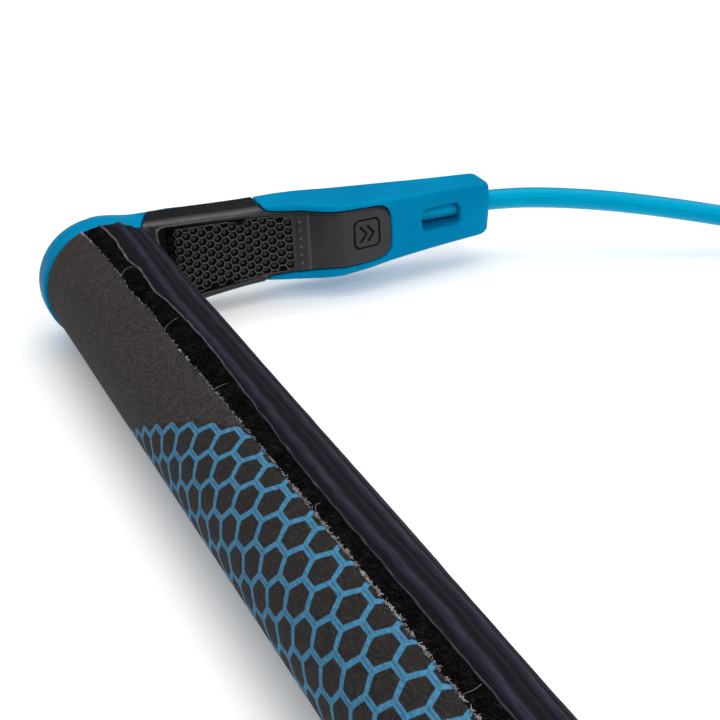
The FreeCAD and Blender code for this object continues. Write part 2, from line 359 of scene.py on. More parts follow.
def rounded_box(a, b, half_a, half_b, radius):
    """A rectangle about 0, 0 with rounded corners."""
    x, y = np.abs(a) - half_a + radius, np.abs(b) - half_b + radius
    outside = np.hypot(np.maximum(x, 0), np.maximum(y, 0))
    return outside + np.minimum(np.maximum(x, y), 0) - radius


def surface_of(field, low, high, cell):
    """The closed surface where a field is 0, as points and quads. Each cell that the surface crosses
    gets one point, which is then moved onto the surface."""
    value = field(*np.meshgrid(*[np.arange(a, b + c, c) for a, b, c in zip(low, high, cell)],
                               indexing="ij"))
    shape = tuple(n - 1 for n in value.shape)
    total, count = np.zeros(shape + (3,)), np.zeros(shape)
    whole, ends = slice(None), (slice(0, -1), slice(1, None))
    planes = ((0, 1, 2), (1, 2, 0), (2, 0, 1))
    crossings = []
    for axis, p, q in planes:
        a, b = (value[tuple(end if i == axis else whole for i in range(3))] for end in ends)
        crossed = (a < 0) != (b < 0)
        share = np.where(crossed, a / np.where(crossed, a - b, 1.0), 0.0)
        crossings.append((crossed, a < 0))
        for step_p, step_q in ((0, 0), (0, 1), (1, 0), (1, 1)):
            pick = [whole] * 3
            pick[p], pick[q] = ends[step_p], ends[step_q]
            hit = crossed[tuple(pick)]
            count += hit
            total[..., axis] += np.where(hit, share[tuple(pick)], 0.0)
            total[..., p] += hit * step_p
            total[..., q] += hit * step_q
    used = count > 0
    index = np.full(shape, -1)
    index[used] = np.arange(used.sum())
    points = (np.argwhere(used) + total[used] / count[used][:, None]) * np.array(cell) + np.array(low)
    quads = []
    for (_, p, q), (crossed, starts_inside) in zip(planes, crossings):
        at = np.argwhere(crossed)
        at = at[(at[:, p] > 0) & (at[:, q] > 0) & (at[:, p] < shape[p]) & (at[:, q] < shape[q])]
        ring = []
        for step_p, step_q in ((1, 1), (0, 1), (0, 0), (1, 0)):
            near = at.copy()
            near[:, p] -= step_p
            near[:, q] -= step_q
            ring.append(index[tuple(near.T)])
        faces = np.stack(ring, axis=1)
        turn = starts_inside[tuple(at.T)]
        faces[~turn] = faces[~turn][:, ::-1]
        quads.append(faces)
    for _ in range(3):
        points = pull_to(field, points, min(cell))
    return points, np.concatenate(quads)


def pull_to(field, points, most):
    """Moves points straight to the surface, by at most a step."""
    step = 0.02
    here = field(*points.T)
    slope = np.stack([(field(*(points + step * e).T) - field(*(points - step * e).T)) / (2 * step)
                      for e in np.eye(3)], axis=1)
    steep = np.maximum((slope ** 2).sum(1), 0.05)
    move = slope * (here / steep)[:, None]
    length = np.linalg.norm(move, axis=1)
    return points - move * np.minimum(1.0, 0.5 * most / np.maximum(length, 1e-9))[:, None]


# ---- making pieces ----
def grid_faces(rows, width, closed, start=0):
    """Quads over points that are given row by row. A closed grid's last column meets its first."""
    row, column = np.indices((rows - 1, width if closed else width - 1))
    a = start + row * width + column
    b = start + row * width + (column + 1) % width
    return np.stack([a, b, b + width, a + width], axis=-1).reshape(-1, 4).tolist()


def joined(pieces):
    """Several lists of points and faces as one."""
    points, faces = [], []
    for more_points, more_faces in pieces:
        start = len(points)
        points += [tuple(p) for p in more_points]
        faces += [[i + start for i in f] for f in more_faces]
    return points, faces


def to_part(points, side="left"):
    """Points from an elbow's millimetres to the part's frame, in metres."""
    points = np.asarray(points, float) * MM
    points = points + np.array([-HALF * MM, AXIS_Y, AXIS_Z])
    if side == "right":
        points[:, 0] *= -1
    return points


def make_piece(name, points, faces, material, stands_for=(), uvs=None, marks=None):
    """A mesh piece in the part's frame that rides on the handle. The uvs are cloth coordinates in
    metres, and marks are two shares for each point that its material uses."""
    mesh = bpy.data.meshes.new(name)
    mesh.from_pydata(np.asarray(points).tolist(), [], [[int(i) for i in f] for f in faces])
    loops = np.zeros(len(mesh.loops), np.int32)
    mesh.loops.foreach_get("vertex_index", loops)
    for layer, values in (("cloth", uvs), ("marks", marks)):
        if values is not None:
            made = mesh.uv_layers.new(name=layer)
            made.data.foreach_set("uv", np.asarray(values, np.float32)[loops].ravel())
    mesh.shade_smooth()
    mesh.materials.append(material)
    piece = bpy.data.objects.new(name, mesh)
    bpy.context.scene.collection.objects.link(piece)
    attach(piece, "root")
    if stands_for:
        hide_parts(*stands_for)
    return piece


def make_pair(node, name, points, faces, material, marks=None):
    """The left piece and its mirror image on the right, in place of a node at each end."""
    for side, order in (("left", 1), ("right", -1)):
        make_piece(f"{name}_{side}", to_part(points, side), [face[::order] for face in faces], material,
                   (f"{node}_{side}",), marks=marks)


# ---- the moulded end: elbow, arm and finger guard ----
# Distance along the arm, then its outer side, inner side, height and depth there.
ARM = (
    (-4.0, -11.6, 4.0, 13.6, 13.6),
    (2.0, -11.0, 3.4, 13.6, 13.6),
    (12.0, -9.2, 2.6, 12.8, 12.8),
    (22.0, -8.2, 2.5, 12.0, 12.0),
    (42.0, -7.2, 3.0, 10.7, 10.7),
    (48.0, -6.9, 4.7, 10.6, 11.0),
    (53.0, -6.5, 6.6, 10.4, 11.2),
    (58.0, -6.0, 9.4, 10.0, 11.0),
    (63.0, -5.5, 11.2, 9.5, 10.5),
    (69.0, -4.9, 11.4, 9.0, 10.0),
    (77.0, -4.1, 10.8, 8.5, 9.5),
    (91.0, -2.2, 10.6, 7.8, 8.8),
    (106.0, -0.3, 10.9, 7.2, 8.2),
)
ARM_END = 106.0
ELBOW_TOP = 15.4          # the ball is a little flat on top and at its end
ELBOW_END = 14.6
SADDLE_START, SADDLE_END = 11.5, 42.8
SADDLE_OUTER = -6.3       # where the guard ends on the arm's outer side
# Half height of the guard's pad along the arm.
PAD = ((40.0, 9.6), (43.5, 9.3), (48.0, 8.8), (53.0, 8.5), (58.0, 8.0), (64.0, 7.9), (70.0, 7.6),
       (76.0, 7.1))
PAD_END = 75.8
PAD_SKIN = 3.0
SHUT_LINE = 0.14          # half the gap between the guard and the arm
# The shallow recess round the honeycomb and the honeycomb itself, along the arm and up.
RECESS = ((14.3, -10.2), (14.3, 10.75), (50.9, 8.3), (50.9, -8.5))
CELLS = ((17.0, -9.4), (17.0, 9.4), (50.8, 7.3), (50.8, -8.1))
RECESS_CORNER = 2.2
RECESS_DEPTH = (1.4, 0.15)  # at its outer end and by the rib
CELLS_DEPTH = 1.28
GUARD_PROUD = 0.12
LAST_CELLS = 48.9         # the middles of the last full row of cells
RIDGE_AT = 53.55
PIP_ROW, PIP_MIDDLE, PIP_STEP, PIP_R, PIP_RISE = 51.6, -0.15, 2.355, 0.36, 0.42
CELL_R = 1.386            # from a honeycomb cell's middle to its corner
CELL_ROW = 0.87
# Each ring of a cell: how far in from its edge, how deep, its painted highlight (lighter wall tops) and its
# painted shade (darker deep in the cell).
# Then the same, but for the first, of a full cell's middle, a cut-off cell's floor and the foot of the
# outer walls.
CELL_RINGS = ((0.0, 0.16, 0.7, 0.0), (0.09, 0.18, 0.7, 0.0), (0.15, 0.28, 0.4, 0.2),
              (0.18, 0.75, 0.0, 1.0), (0.22, 1.18, 0.0, 1.0), (0.30, 1.12, 0.0, 0.9),
              (0.44, 0.95, 0.0, 0.4), (0.72, 0.80, 0.0, 0.1))
CELL_DOME, CUT_FLOOR, WALL_FOOT = (0.74, 0.0, 0.1), (1.1, 0.0, 1.0), (1.7, 0.0, 1.0)
FLOOR_RING = 4            # the ring at a cell's floor
# The pad's engraving: a round-cornered frame with two chevrons, each a tip and an arm back and up.
EMBLEM_MIDDLE = (68.5, 0.7)
EMBLEM_HALF, EMBLEM_CORNER = (3.6, 3.9), 1.5
CHEVRON_TIPS, CHEVRON_ARM = (-0.2, 1.9), (1.7, 2.1)
EMBLEM_LINE, EMBLEM_EDGE, EMBLEM_DEPTH = 0.29, 0.13, 0.5
EMBLEM_REACH = 5.9        # the guard's mesh is finer this far round it
# The line's channel, the insert and the tube inside the moulding, and the window in its inner side.
CHANNEL_CORNER = -6.0
CHANNEL_EXIT = 6.2
CHANNEL_R = 2.9
CHANNEL_BEND_R = 13.0
KNUCKLE_R, SPIGOT_R, TUBE_R, TUBE_START = 11.5, 11.0, 12.7, 1.0
TANG_HALF, TANG_END = (3.8, 6.8), 27.0
WINDOW_MIDDLE, WINDOW_HALF, WINDOW_CORNER, WINDOW_FROM = (90.95, 0.05), (5.75, 3.1), 1.8, 4.0


def arm_sides(v):
    """The arm's outer side, inner side, height and depth at points along it."""
    return [smooth_through(v, [(k[0], k[i]) for k in ARM]) for i in (1, 2, 3, 4)]


def arm_field(u, v, w):
    """The arm alone: a rounded bar whose top outer edge is rounder, above all near its ends."""
    outer, inner, tall, deep = arm_sides(v)
    middle, half = (outer + inner) / 2, (inner - outer) / 2
    near_end = np.clip((v - 70.0) / 35.0, 0.0, 1.0)
    near_root = np.clip((20.0 - v) / 16.0, 0.0, 1.0)
    on_saddle = np.clip((50.0 - v) / 8.0, 0.0, 1.0) * (w > 0)
    radius = np.where(u < middle, 2.4 + 1.6 * near_end + 4.2 * near_root,
                      1.5 + 0.5 * near_end + 0.3 * on_saddle)
    side = rounded_box(u - middle, w - (tall - deep) / 2, half, (tall + deep) / 2, radius)
    end_round = 2.2 + 1.6 * np.clip(-w / 6.0, 0.0, 1.0)
    return soft_max(soft_max(side, v - ARM_END, end_round), -v, 2.0)


def elbow_field(u, v, w):
    """The ball and the collar at the bar's end."""
    lift = np.where(w > 0, w * ELBOW_R / ELBOW_TOP, w)
    reach = np.minimum(u, 0) * ELBOW_R / ELBOW_END
    ball = np.sqrt(reach ** 2 + v ** 2 + lift ** 2) - ELBOW_R
    return soft_max(ball, u - COLLAR, 1.1)


def channel_field(u, v, w):
    """The line's channel: from the arm's end, round the elbow and along the bar."""
    corner, bar = np.array([CHANNEL_CORNER, 0.0, 0.0]), np.array([1.0, 0.0, 0.0])
    out = np.array([CHANNEL_EXIT, ARM_END, LEAD_POINTS[0][2] / MM - AXIS_Z / MM]) - corner
    out /= np.linalg.norm(out)
    cut = CHANNEL_BEND_R * math.tan((math.pi - math.acos(out[0])) / 2)
    centre = corner + out * cut + np.array([out[1], -out[0], 0.0]) * CHANNEL_BEND_R
    here = np.stack([u, v, w], axis=-1) - corner

    def along(direction):
        reach = np.maximum(here @ direction, cut)[..., None]
        return np.linalg.norm(here - reach * direction, axis=-1)

    bend = np.hypot(np.hypot(u - centre[0], v - centre[1]) - CHANNEL_BEND_R, w)
    bend = np.where((u < centre[0]) & (v < centre[1]), bend, 1e3)
    return np.minimum(np.minimum(along(out), along(bar)), bend) - CHANNEL_R


def insert_space(u, v, w):
    """The room that the insert and the bar's tube take inside the moulding."""
    knuckle = np.where(u < 0, np.sqrt(u ** 2 + v ** 2 + w ** 2) - KNUCKLE_R, np.hypot(v, w) - SPIGOT_R)
    tube = np.maximum(np.hypot(v, w) - TUBE_R, TUBE_START - u)
    lean = math.atan2(CHANNEL_EXIT - CHANNEL_CORNER, ARM_END)
    across = (u - CHANNEL_CORNER) * math.cos(lean) - v * math.sin(lean)
    forward = (u - CHANNEL_CORNER) * math.sin(lean) + v * math.cos(lean)
    tang = np.maximum(rounded_box(across, w, *TANG_HALF, 0.5), np.maximum(-forward, forward - TANG_END))
    return np.minimum(np.minimum(knuckle, tube), tang)


def outer_form(u, v, w):
    """Elbow and arm together, cut back to the wrapped bar."""
    body = soft_min(elbow_field(u, v, w), arm_field(u, v, w), 1.8)
    bar = np.maximum(np.hypot(v, w) - GRIP_R - 0.05, COLLAR - u)
    return soft_max(body, -bar, 0.5)


def guard_space(u, v, w):
    """Below 0 where the black guard is and not the arm."""
    saddle = soft_max(SADDLE_START - 0.44 * u - v, v - SADDLE_END + 0.08 * u, 0.8)
    saddle = np.maximum(saddle, SADDLE_OUTER - u + 0.8 * (w < 0))
    pad = soft_max(np.abs(w) - smooth_through(v, PAD), v - PAD_END, 4.2)
    pad = np.maximum(pad, SADDLE_END - 3.0 - v)
    pad = soft_max(pad, arm_sides(v)[1] - PAD_SKIN - u, 0.8)
    return soft_min(saddle, pad, 2.0)


def elbow_arm_field(u, v, w):
    """The blue moulding, with room for the guard and for what is inside it, and its window."""
    body = soft_max(outer_form(u, v, w), SHUT_LINE - guard_space(u, v, w), 0.45)
    body = soft_max(body, -np.minimum(insert_space(u, v, w), channel_field(u, v, w)), 0.5)
    window = rounded_box(v - WINDOW_MIDDLE[0], w - WINDOW_MIDDLE[1], *WINDOW_HALF, WINDOW_CORNER)
    return soft_max(body, -np.maximum(window, WINDOW_FROM - u), 0.7)


def sides_of(outline):
    """Each side of an outline, as its outward direction and its distance from 0, 0."""
    corners = np.array(outline, float)
    for a, b in zip(corners, np.roll(corners, -1, axis=0)):
        along = (b - a) / np.linalg.norm(b - a)
        normal = np.array([-along[1], along[0]])
        yield normal, normal @ a


def in_outline(v, w, outline, round_r):
    """A field in the plane of the arm's inner side: below 0 inside a convex outline."""
    result = np.full(np.shape(v), -1e3)
    for normal, distance in sides_of(outline):
        result = soft_max(result, v * normal[0] + w * normal[1] - distance, round_r)
    return result


def guard_field(u, v, w):
    """The guard, with the pockets of its honeycomb, and a little proud of the arm."""
    body = outer_form(u, v, w) - GUARD_PROUD
    body = soft_max(body, guard_space(u, v, w) + SHUT_LINE, 0.6)
    above = arm_sides(v)[1] + GUARD_PROUD - u
    recess = np.maximum(in_outline(v, w, RECESS, RECESS_CORNER),
                        above - np.interp(v, (16.0, 48.0), RECESS_DEPTH))
    pocket = np.maximum(in_outline(v, w, CELLS, 0.6), above - CELLS_DEPTH)
    pocket = np.maximum(pocket, v - LAST_CELLS - 0.5 * CELL_R)
    body = soft_max(soft_max(body, -recess, 0.35), -pocket, 0.15)
    return soft_max(body, -np.minimum(insert_space(u, v, w), channel_field(u, v, w)), 0.3)


def half_planes(middle):
    """A honeycomb cell's six sides and the honeycomb's outline, as directions and distances."""
    angles = [math.radians(30 + 60 * k) for k in range(6)]
    normals = [np.array([math.cos(angle), math.sin(angle)]) for angle in angles]
    reach = CELL_R * math.cos(math.pi / 6)
    return [(normal, normal @ middle + reach) for normal in normals] + list(sides_of(CELLS))


def clipped(planes, inset):
    """The convex outline inside all planes, moved in by inset, and which plane made each edge."""
    outline = [(np.array(p, float), None) for p in ((-99, -99), (99, -99), (99, 99), (-99, 99))]
    for label, (normal, distance) in enumerate(planes):
        kept = []
        for (a, edge), (b, _) in zip(outline, outline[1:] + outline[:1]):
            da, db = normal @ a - distance + inset, normal @ b - distance + inset
            if da <= 0:
                kept.append((a, edge))
            if (da < 0) != (db < 0) and da != db:
                kept.append((a + (b - a) * da / (da - db), label if da <= 0 else edge))
        outline = kept
    return [p for p, _ in outline], [e for _, e in outline]


def honeycomb():
    """The grip pattern: hexagonal cells with thin walls and a low dome in each, cut off by its outline.
    A point is a place along the arm and up, its depth below the surface, and its shares of painted
    highlight and painted shade."""
    points, faces = [], []
    for column in range(int((LAST_CELLS - CELLS[0][0]) / (1.5 * CELL_R)) + 2):
        v = LAST_CELLS - 1.5 * CELL_R * column
        for row in range(-6, 7):
            w = math.sqrt(3) * CELL_R * (row + 0.5 * (column % 2)) + CELL_ROW
            planes = half_planes(np.array([v, w]))
            outlines, labels = zip(*[clipped(planes, ring[0]) for ring in CELL_RINGS])
            size = len(outlines[0])
            if size < 3:
                continue
            start = len(points)
            same = [more == labels[0] for more in labels]
            used = len(CELL_RINGS) - 1 if all(same) else FLOOR_RING if all(same[:FLOOR_RING + 1]) else 0
            for outline, ring in list(zip(outlines, CELL_RINGS))[:used + 1]:
                points += [(*p, *ring[1:]) for p in outline]
            if used == 0:
                points += [(*p, *CUT_FLOOR) for p in outlines[0]]
                used = 1
            faces += grid_faces(used + 1, size, True, start)
            last_ring = range(start + used * size, start + used * size + size)
            if used < len(CELL_RINGS) - 1:
                faces.append(list(last_ring))
            else:
                faces += [[last_ring[k - 1], last_ring[k], len(points)] for k in range(size)]
                points.append((*(sum(outlines[-1]) / size), *CELL_DOME))
            for k, label in enumerate(labels[0]):
                if label >= 6 or (column == 0 and label in (0, 5)):
                    a, b = start + k, start + (k + 1) % size
                    faces.append([b, a, len(points), len(points) + 1])
                    points += [(*points[a][:2], *WALL_FOOT), (*points[b][:2], *WALL_FOOT)]
    return points, faces


def bead(middle, radius, height):
    """A small dome on the guard's surface, with a painted highlight all over."""
    around = 12
    levels = ((1.25, -0.30), (1.0, 0.0), (0.82, 0.55), (0.45, 0.90))
    turns = [2 * math.pi * k / around for k in range(around)]
    # Every point of the bead, its tip too, gets a full painted highlight and no painted shade.
    points = [(middle[0] + radius * reach * math.cos(turn), middle[1] + radius * reach * math.sin(turn),
               -height * rise, 1.0, 0.0) for reach, rise in levels for turn in turns]
    tip = len(points)
    faces = grid_faces(len(levels), around, True)
    faces += [[tip - around + k, tip - around + (k + 1) % around, tip] for k in range(around)]
    return [*points, (*middle, -height, 1.0, 0.0)], faces


def ridge():
    """The rib between the honeycomb and the pad, with a painted highlight along its raised part."""
    profile = ((-0.62, -0.12), (-0.46, 0.10), (-0.22, 0.26), (0.10, 0.30), (0.34, 0.24), (0.46, 0.0),
               (0.50, -0.12))
    points = []
    steps = 40
    for step in range(steps + 1):
        share = step / steps
        fade = min(1.0, 12 * share, 12 * (1 - share))
        for v, rise in profile:
            depth = -rise * fade if rise > 0 else -rise
            # The raised part of the profile gets a painted highlight.
            points.append((RIDGE_AT + v, -7.9 + 15.7 * share, depth, 0.4 if rise > 0.05 else 0.0, 0.0))
    return points, grid_faces(steps + 1, len(profile), False)


def on_guard(points):
    """Points along the arm, up, and below the guard's surface, in the elbow's millimetres."""
    at = np.array([p[:3] for p in points], float)
    surface = arm_sides(at[:, 0])[1] + GUARD_PROUD
    return np.stack([surface - at[:, 2], at[:, 0], at[:, 1]], axis=1)


def emblem_line(v, w):
    """1 in the lines of the pad's engraving, and 0 outside them."""
    x, y = v - EMBLEM_MIDDLE[0], w - EMBLEM_MIDDLE[1]
    lines = [np.abs(rounded_box(x, y, *EMBLEM_HALF, EMBLEM_CORNER))]
    back, up = CHEVRON_ARM
    for tip in CHEVRON_TIPS:
        share = np.clip((np.abs(y) * up - (x - tip) * back) / (back ** 2 + up ** 2), 0.0, 1.0)
        lines.append(np.hypot(x - tip + back * share, np.abs(y) - up * share))
    return np.clip((EMBLEM_LINE - np.minimum.reduce(lines)) / EMBLEM_EDGE, 0.0, 1.0)


def engraved(points, faces):
    """The guard's mesh, finer where the emblem is, with the emblem pressed in, and a share that is 1 in its
    lines, which is painted as shade.
    """
    mesh = bmesh.new()
    verts = [mesh.verts.new(p) for p in points]
    for face in faces:
        mesh.faces.new([verts[i] for i in face])

    def on_pad(at):
        near = np.hypot(at[:, 1] - EMBLEM_MIDDLE[0], at[:, 2] - EMBLEM_MIDDLE[1]) < EMBLEM_REACH
        return near & (at[:, 0] > arm_sides(at[:, 1])[1] - 0.8)

    edges = list(mesh.edges)
    middles = np.array([(e.verts[0].co + e.verts[1].co) / 2 for e in edges])
    chosen = [e for e, near in zip(edges, on_pad(middles)) if near]
    bmesh.ops.subdivide_edges(mesh, edges=chosen, cuts=3, use_grid_fill=True)
    mesh.verts.index_update()
    points = np.array([v.co for v in mesh.verts])
    faces = [[v.index for v in f.verts] for f in mesh.faces]
    mesh.free()
    # The lines' share is later painted dark, as shade in the grooves.
    line = emblem_line(points[:, 1], points[:, 2]) * on_pad(points)
    points[:, 0] -= EMBLEM_DEPTH * line
    return points, faces, line


def guard_shape():
    """The guard as points, faces, and how much painted highlight and painted shade each point gets."""
    points, faces, recess_shade = engraved(*surface_of(guard_field, (-7.5, 4.0, -15.5), (13.0, 78.0, 15.5),
                                               (0.4, 0.5, 0.4)))
    _, v, w = points.T
    depth = arm_sides(v)[1] - points[:, 0]
    fall = arm_sides(v)[2] - w
    beside = in_outline(v, w, RECESS, RECESS_CORNER)
    # Painted shade: the deeper margin of the recess round the honeycomb is darkened, where the lip shades
    # it.
    recess_shade = np.maximum(recess_shade, (beside < 0.2) * np.clip((depth - 0.4) / 0.8, 0.0, 1.0))
    # Painted highlight: a light line along the recess's upper lip.
    lip_highlight = np.clip(1.2 - np.abs(beside - 0.3) / 0.45, 0.0, 1.0) * np.clip((46.0 - v) / 10.0, 0.0, 1.0)
    lip_highlight = lip_highlight * (w > 4.0) * (depth < 0.5)
    # Painted highlight: a light line along the saddle's top inner edge.
    edge_highlight = np.clip(1.3 - np.abs(depth - 0.65 * fall) / 0.5, 0.0, 1.0)
    edge_highlight = edge_highlight * (depth < 1.6) * (fall < 1.6) * (v < 46.0)
    # Painted light: the pad past its bend is made a little lighter, as where more light falls on it.
    painted_pad_light = 0.10 * np.clip((v - 57.0) / 7.0, 0.0, 1.0) * (depth < 1.0)
    painted_light = np.maximum(np.maximum(lip_highlight, edge_highlight), painted_pad_light) * (1.0 - recess_shade)
    pips = [bead((PIP_ROW, PIP_MIDDLE + PIP_STEP * (k - 2.5)), PIP_R, PIP_RISE) for k in range(6)]
    pattern, pattern_faces = joined([honeycomb(), ridge(), *pips])
    pattern_wear = np.array([p[3:] for p in pattern])
    points, faces = joined([(points, faces), (on_guard(pattern), pattern_faces)])
    return points, faces, np.concatenate([np.stack([painted_light, recess_shade], axis=1), pattern_wear])


def make_ends(blue, black):
    """Both elbows with their arms and both guards."""
    points, faces = surface_of(elbow_arm_field, (-17.5, -17.5, -17.5), (12.5, 107.5, 17.5),
                               (0.45, 0.7, 0.45))
    make_pair("elbow_arm", "elbow_moulding", points, faces, blue)
    points, faces, wear = guard_shape()
    make_pair("finger_guard", "guard_moulding", points, faces, black, wear)


# ---- finishes of the hard pieces ----
def moulding_finish(name, low, high, roughness, painted_light=False, **constants):
    """Moulded plastic or rubber: a fine spark-eroded grain, faint flow marks and small scuffs.
    A piece with painted light reads from its own coordinates how much painted highlight (lighter edges and
    tops) and painted shade (darker grooves and hollows) it gets."""
    made = Finish(name, **constants)
    point = made.place()
    grain = made.noise(point, 0.32, 2.0)
    flow = made.noise(made.place((0.5, 0.12, 1.0)), 2.6)
    scuff = made.span(made.noise(made.place((0.7, 0.25, 0.9)), 1.5, 5.0, 0.7), 0.66, 0.76)
    shade = made.mix(made.span(made.noise(point, 14.0, 4.0), 0.3, 0.7), low, high)
    shade = made.mix(made.times(scuff, 0.05), shade, (0.35, 0.4, 0.42, 1))
    dull = made.plus(roughness - 0.06, made.times(flow, 0.16))
    if painted_light:
        painted_highlight, painted_shade = made.marks()
        uneven = made.span(made.noise(point, 1.3), 0.3, 0.7, 0.6, 1.0)
        # Painted highlight: a lighter colour along edges and tops, standing in for gloss there.
        shade = made.mix(made.times(painted_highlight, uneven), shade, srgb(98, 96, 100))
        # Painted shade: near black in grooves and recesses, where shade falls.
        shade = made.mix(painted_shade, shade, srgb(2, 2, 2))
        dull = made.larger(dull, painted_shade)
    made.set(Base_Color=shade, Roughness=dull)
    made.bump(made.plus(made.times(grain, 0.6), made.times(flow, 0.5)), 0.045)
    return made.material


# ---- the wrapped bar ----
FOLD_FROM = -28.0         # angles round the bar are degrees from +Y towards +Z
# Where the folded fabric's bound edge and the wrap's cut edge run: distance along and angle.
BINDING_LINE = ((4, 91.4), (13, 88.8), (29, 91.4), (35, 88.4), (47, 90.5), (57, 86.8), (79, 83.8),
                (96, 85.4), (118, 87.6), (134, 89.2), (170, 88.0), (215, 86.2), (262, 88.6),
                (300, 86.6), (344, 89.5))
CUT_LINE = ((4, 109.4), (18, 106.4), (33, 105.7), (44, 106.8), (56, 104.4), (76, 105.3), (106, 103.3),
            (142, 102.2), (190, 102.0), (250, 103.8), (300, 103.0), (344, 108.0))
UNDER_R, PILE_R = 15.2, 15.5
FOLD_R, FOLD_RISE, BINDING_R = 15.32, 0.66, 15.66
SHEET_STEP = 1.6          # between a sheet's rows of points along the bar
# The folds beside the bound edge: angle of the crest, width before and after it, and rise.
FOLDS = ((77.2, 4.2, 3.4, 1.0), (65.0, 3.0, 2.6, 0.35), (54.5, 5.5, 4.0, 0.95), (40.0, 6.0, 3.6, 0.55),
         (24.0, 8.0, 5.0, 0.55), (6.0, 9.0, 6.0, 0.4), (-14.0, 8.0, 6.0, 0.35))
HAIRS, HAIR_R = 6500, 0.06
FRAYS, FRAY_R, LOOSE_R = 4600, 0.10, 0.036
BAR_FROM, BAR_TO = COLLAR, 2 * HALF - COLLAR
EDGE_SEED, FOLD_SEED, HAIR_SEED, FRAY_SEED = 3, 11, 5, 8


def ripple(at, shortest, longest, seed):
    """Smooth uneven waves between about -1 and 1, from a fixed seed."""
    pick = random.Random(seed)
    total = np.zeros(np.shape(at))
    for _ in range(7):
        period = shortest * (longest / shortest) ** pick.random()
        total = total + np.sin(2 * np.pi * (np.asarray(at) / period + pick.random()))
    return total / 3.5


def bump_at(value, middle, before, after):
    """A rounded hump with a different width on each side."""
    width = np.where(value < middle, before, after)
    return np.exp(-((value - middle) / width) ** 2)


def on_bar(u, angle, radius):
    """A point on the bar, from its distance along, angle in degrees and radius."""
    turn = np.radians(angle)
    return np.stack(np.broadcast_arrays(u, radius * np.cos(turn), radius * np.sin(turn)), axis=-1)


def wrapped_sheet(first_angle, last_angle, across, outside, inside):
    """A sheet of some thickness round the bar, as points, faces and cloth coordinates.
    The angles are functions of the distance along, and outside is one of that and the angle."""
    u = np.linspace(BAR_FROM, BAR_TO, int((BAR_TO - BAR_FROM) / SHEET_STEP) + 1)
    share = np.linspace(0.0, 1.0, across + 1)
    first, last = first_angle(u)[:, None], last_angle(u)[:, None]
    angle = first + (last - first) * share
    along = np.broadcast_to(u[:, None], angle.shape)
    top = on_bar(along, angle, outside(along, angle))
    under = on_bar(along, angle, np.full(angle.shape, inside))
    points = np.concatenate([top.reshape(-1, 3), under.reshape(-1, 3)])
    cloth = np.stack([along * MM, np.radians(angle) * GRIP_R * MM], axis=-1).reshape(-1, 2)
    upper = np.array(grid_faces(*angle.shape, False))
    index, half = np.arange(angle.size).reshape(angle.shape), angle.size
    rim = np.concatenate([index[0, :-1], index[:-1, -1], index[-1, :0:-1], index[:0:-1, 0]])
    after = np.roll(rim, -1)
    sides = np.stack([after, rim, rim + half, after + half], axis=1)
    return points, np.concatenate([upper, upper[:, ::-1] + half, sides]), np.concatenate([cloth, cloth])


def steady(value):
    return lambda u: np.full(np.shape(u), value)


def wrap_edge(u):
    """The angle of the wrap's cut edge, a little uneven."""
    return smooth_through(u, CUT_LINE) + 0.35 * ripple(u, 2.0, 9.0, EDGE_SEED)


def binding_edge(u):
    """The angle of the folded fabric's bound edge."""
    return smooth_through(u, BINDING_LINE) + 0.35 * ripple(u, 4.0, 11.0, EDGE_SEED + 2)


def from_end(u):
    """Distance from the nearer end of the wrap."""
    return np.minimum(u - BAR_FROM, BAR_TO - u)


def wrap_surface(u, angle):
    """The printed wrap: soft lumps, a thin cut edge, and creases where it goes into the collar."""
    lumps = 0.05 * ripple(u + 0.15 * angle, 30.0, 80.0, 21) * ripple(angle + 0.3 * u, 60.0, 150.0, 22)
    into_collar = -0.04 * np.exp(-from_end(u) / 1.6)
    crease = bump_at(from_end(u) + 0.05 * (angle - 180), 6.5, 0.7, 1.1) * bump_at(angle, 182, 22, 16)
    second = bump_at(from_end(u) - 0.04 * (angle - 180), 9.5, 0.8, 1.2) * bump_at(angle, 172, 18, 12)
    edge = -0.25 * np.exp(-(angle - wrap_edge(u)) / 1.2)
    return GRIP_R - 0.06 + lumps + into_collar - 0.28 * (crease + 0.7 * second) + edge


def fold_relief(u, angle):
    """The folded fabric beside the wrap's edge, from 0 in a valley to 1 on a crest: lengthwise
    folds that wander a little."""
    drift = 1.6 * ripple(u, 45.0, 160.0, FOLD_SEED) + 1.5 * np.tanh((u - 40.0) / 12.0)
    flutter = 0.6 * ripple(u, 8.0, 25.0, FOLD_SEED + 1)
    return np.maximum.reduce([rise * bump_at(angle, middle + drift + flutter, before, after)
                              for middle, before, after, rise in FOLDS])


def fold_surface(u, angle):
    cords = 0.03 * np.sin(np.radians(angle) * GRIP_R * 2 * np.pi / 1.5)
    return FOLD_R + FOLD_RISE * fold_relief(u, angle) + cords + 0.22 * np.exp(-from_end(u) / 8.0)


def tube_round(path, radii, sides=8, along=None):
    """A closed tube along points, as points and quads with capped ends."""
    path = np.asarray(path, float)
    if along is None:
        along = np.gradient(path, axis=0)
    along = along / np.linalg.norm(along, axis=1)[:, None]
    helper = (0.0, 0.0, 1.0) if abs(along[:, 2]).mean() < 0.8 else (0.0, 1.0, 0.0)
    side = np.cross(along, helper)
    side /= np.linalg.norm(side, axis=1)[:, None]
    other = np.cross(side, along)
    turn = np.linspace(0, 2 * np.pi, sides, endpoint=False)
    ring = side[:, None] * np.cos(turn)[None, :, None] + other[:, None] * np.sin(turn)[None, :, None]
    points = (path[:, None] + ring * np.asarray(radii, float).reshape(-1, 1, 1)).reshape(-1, 3)
    faces = [face[::-1] for face in grid_faces(len(path), sides, True)]
    faces += [list(range(sides)), [len(points) - 1 - k for k in range(sides)]]
    return points, faces


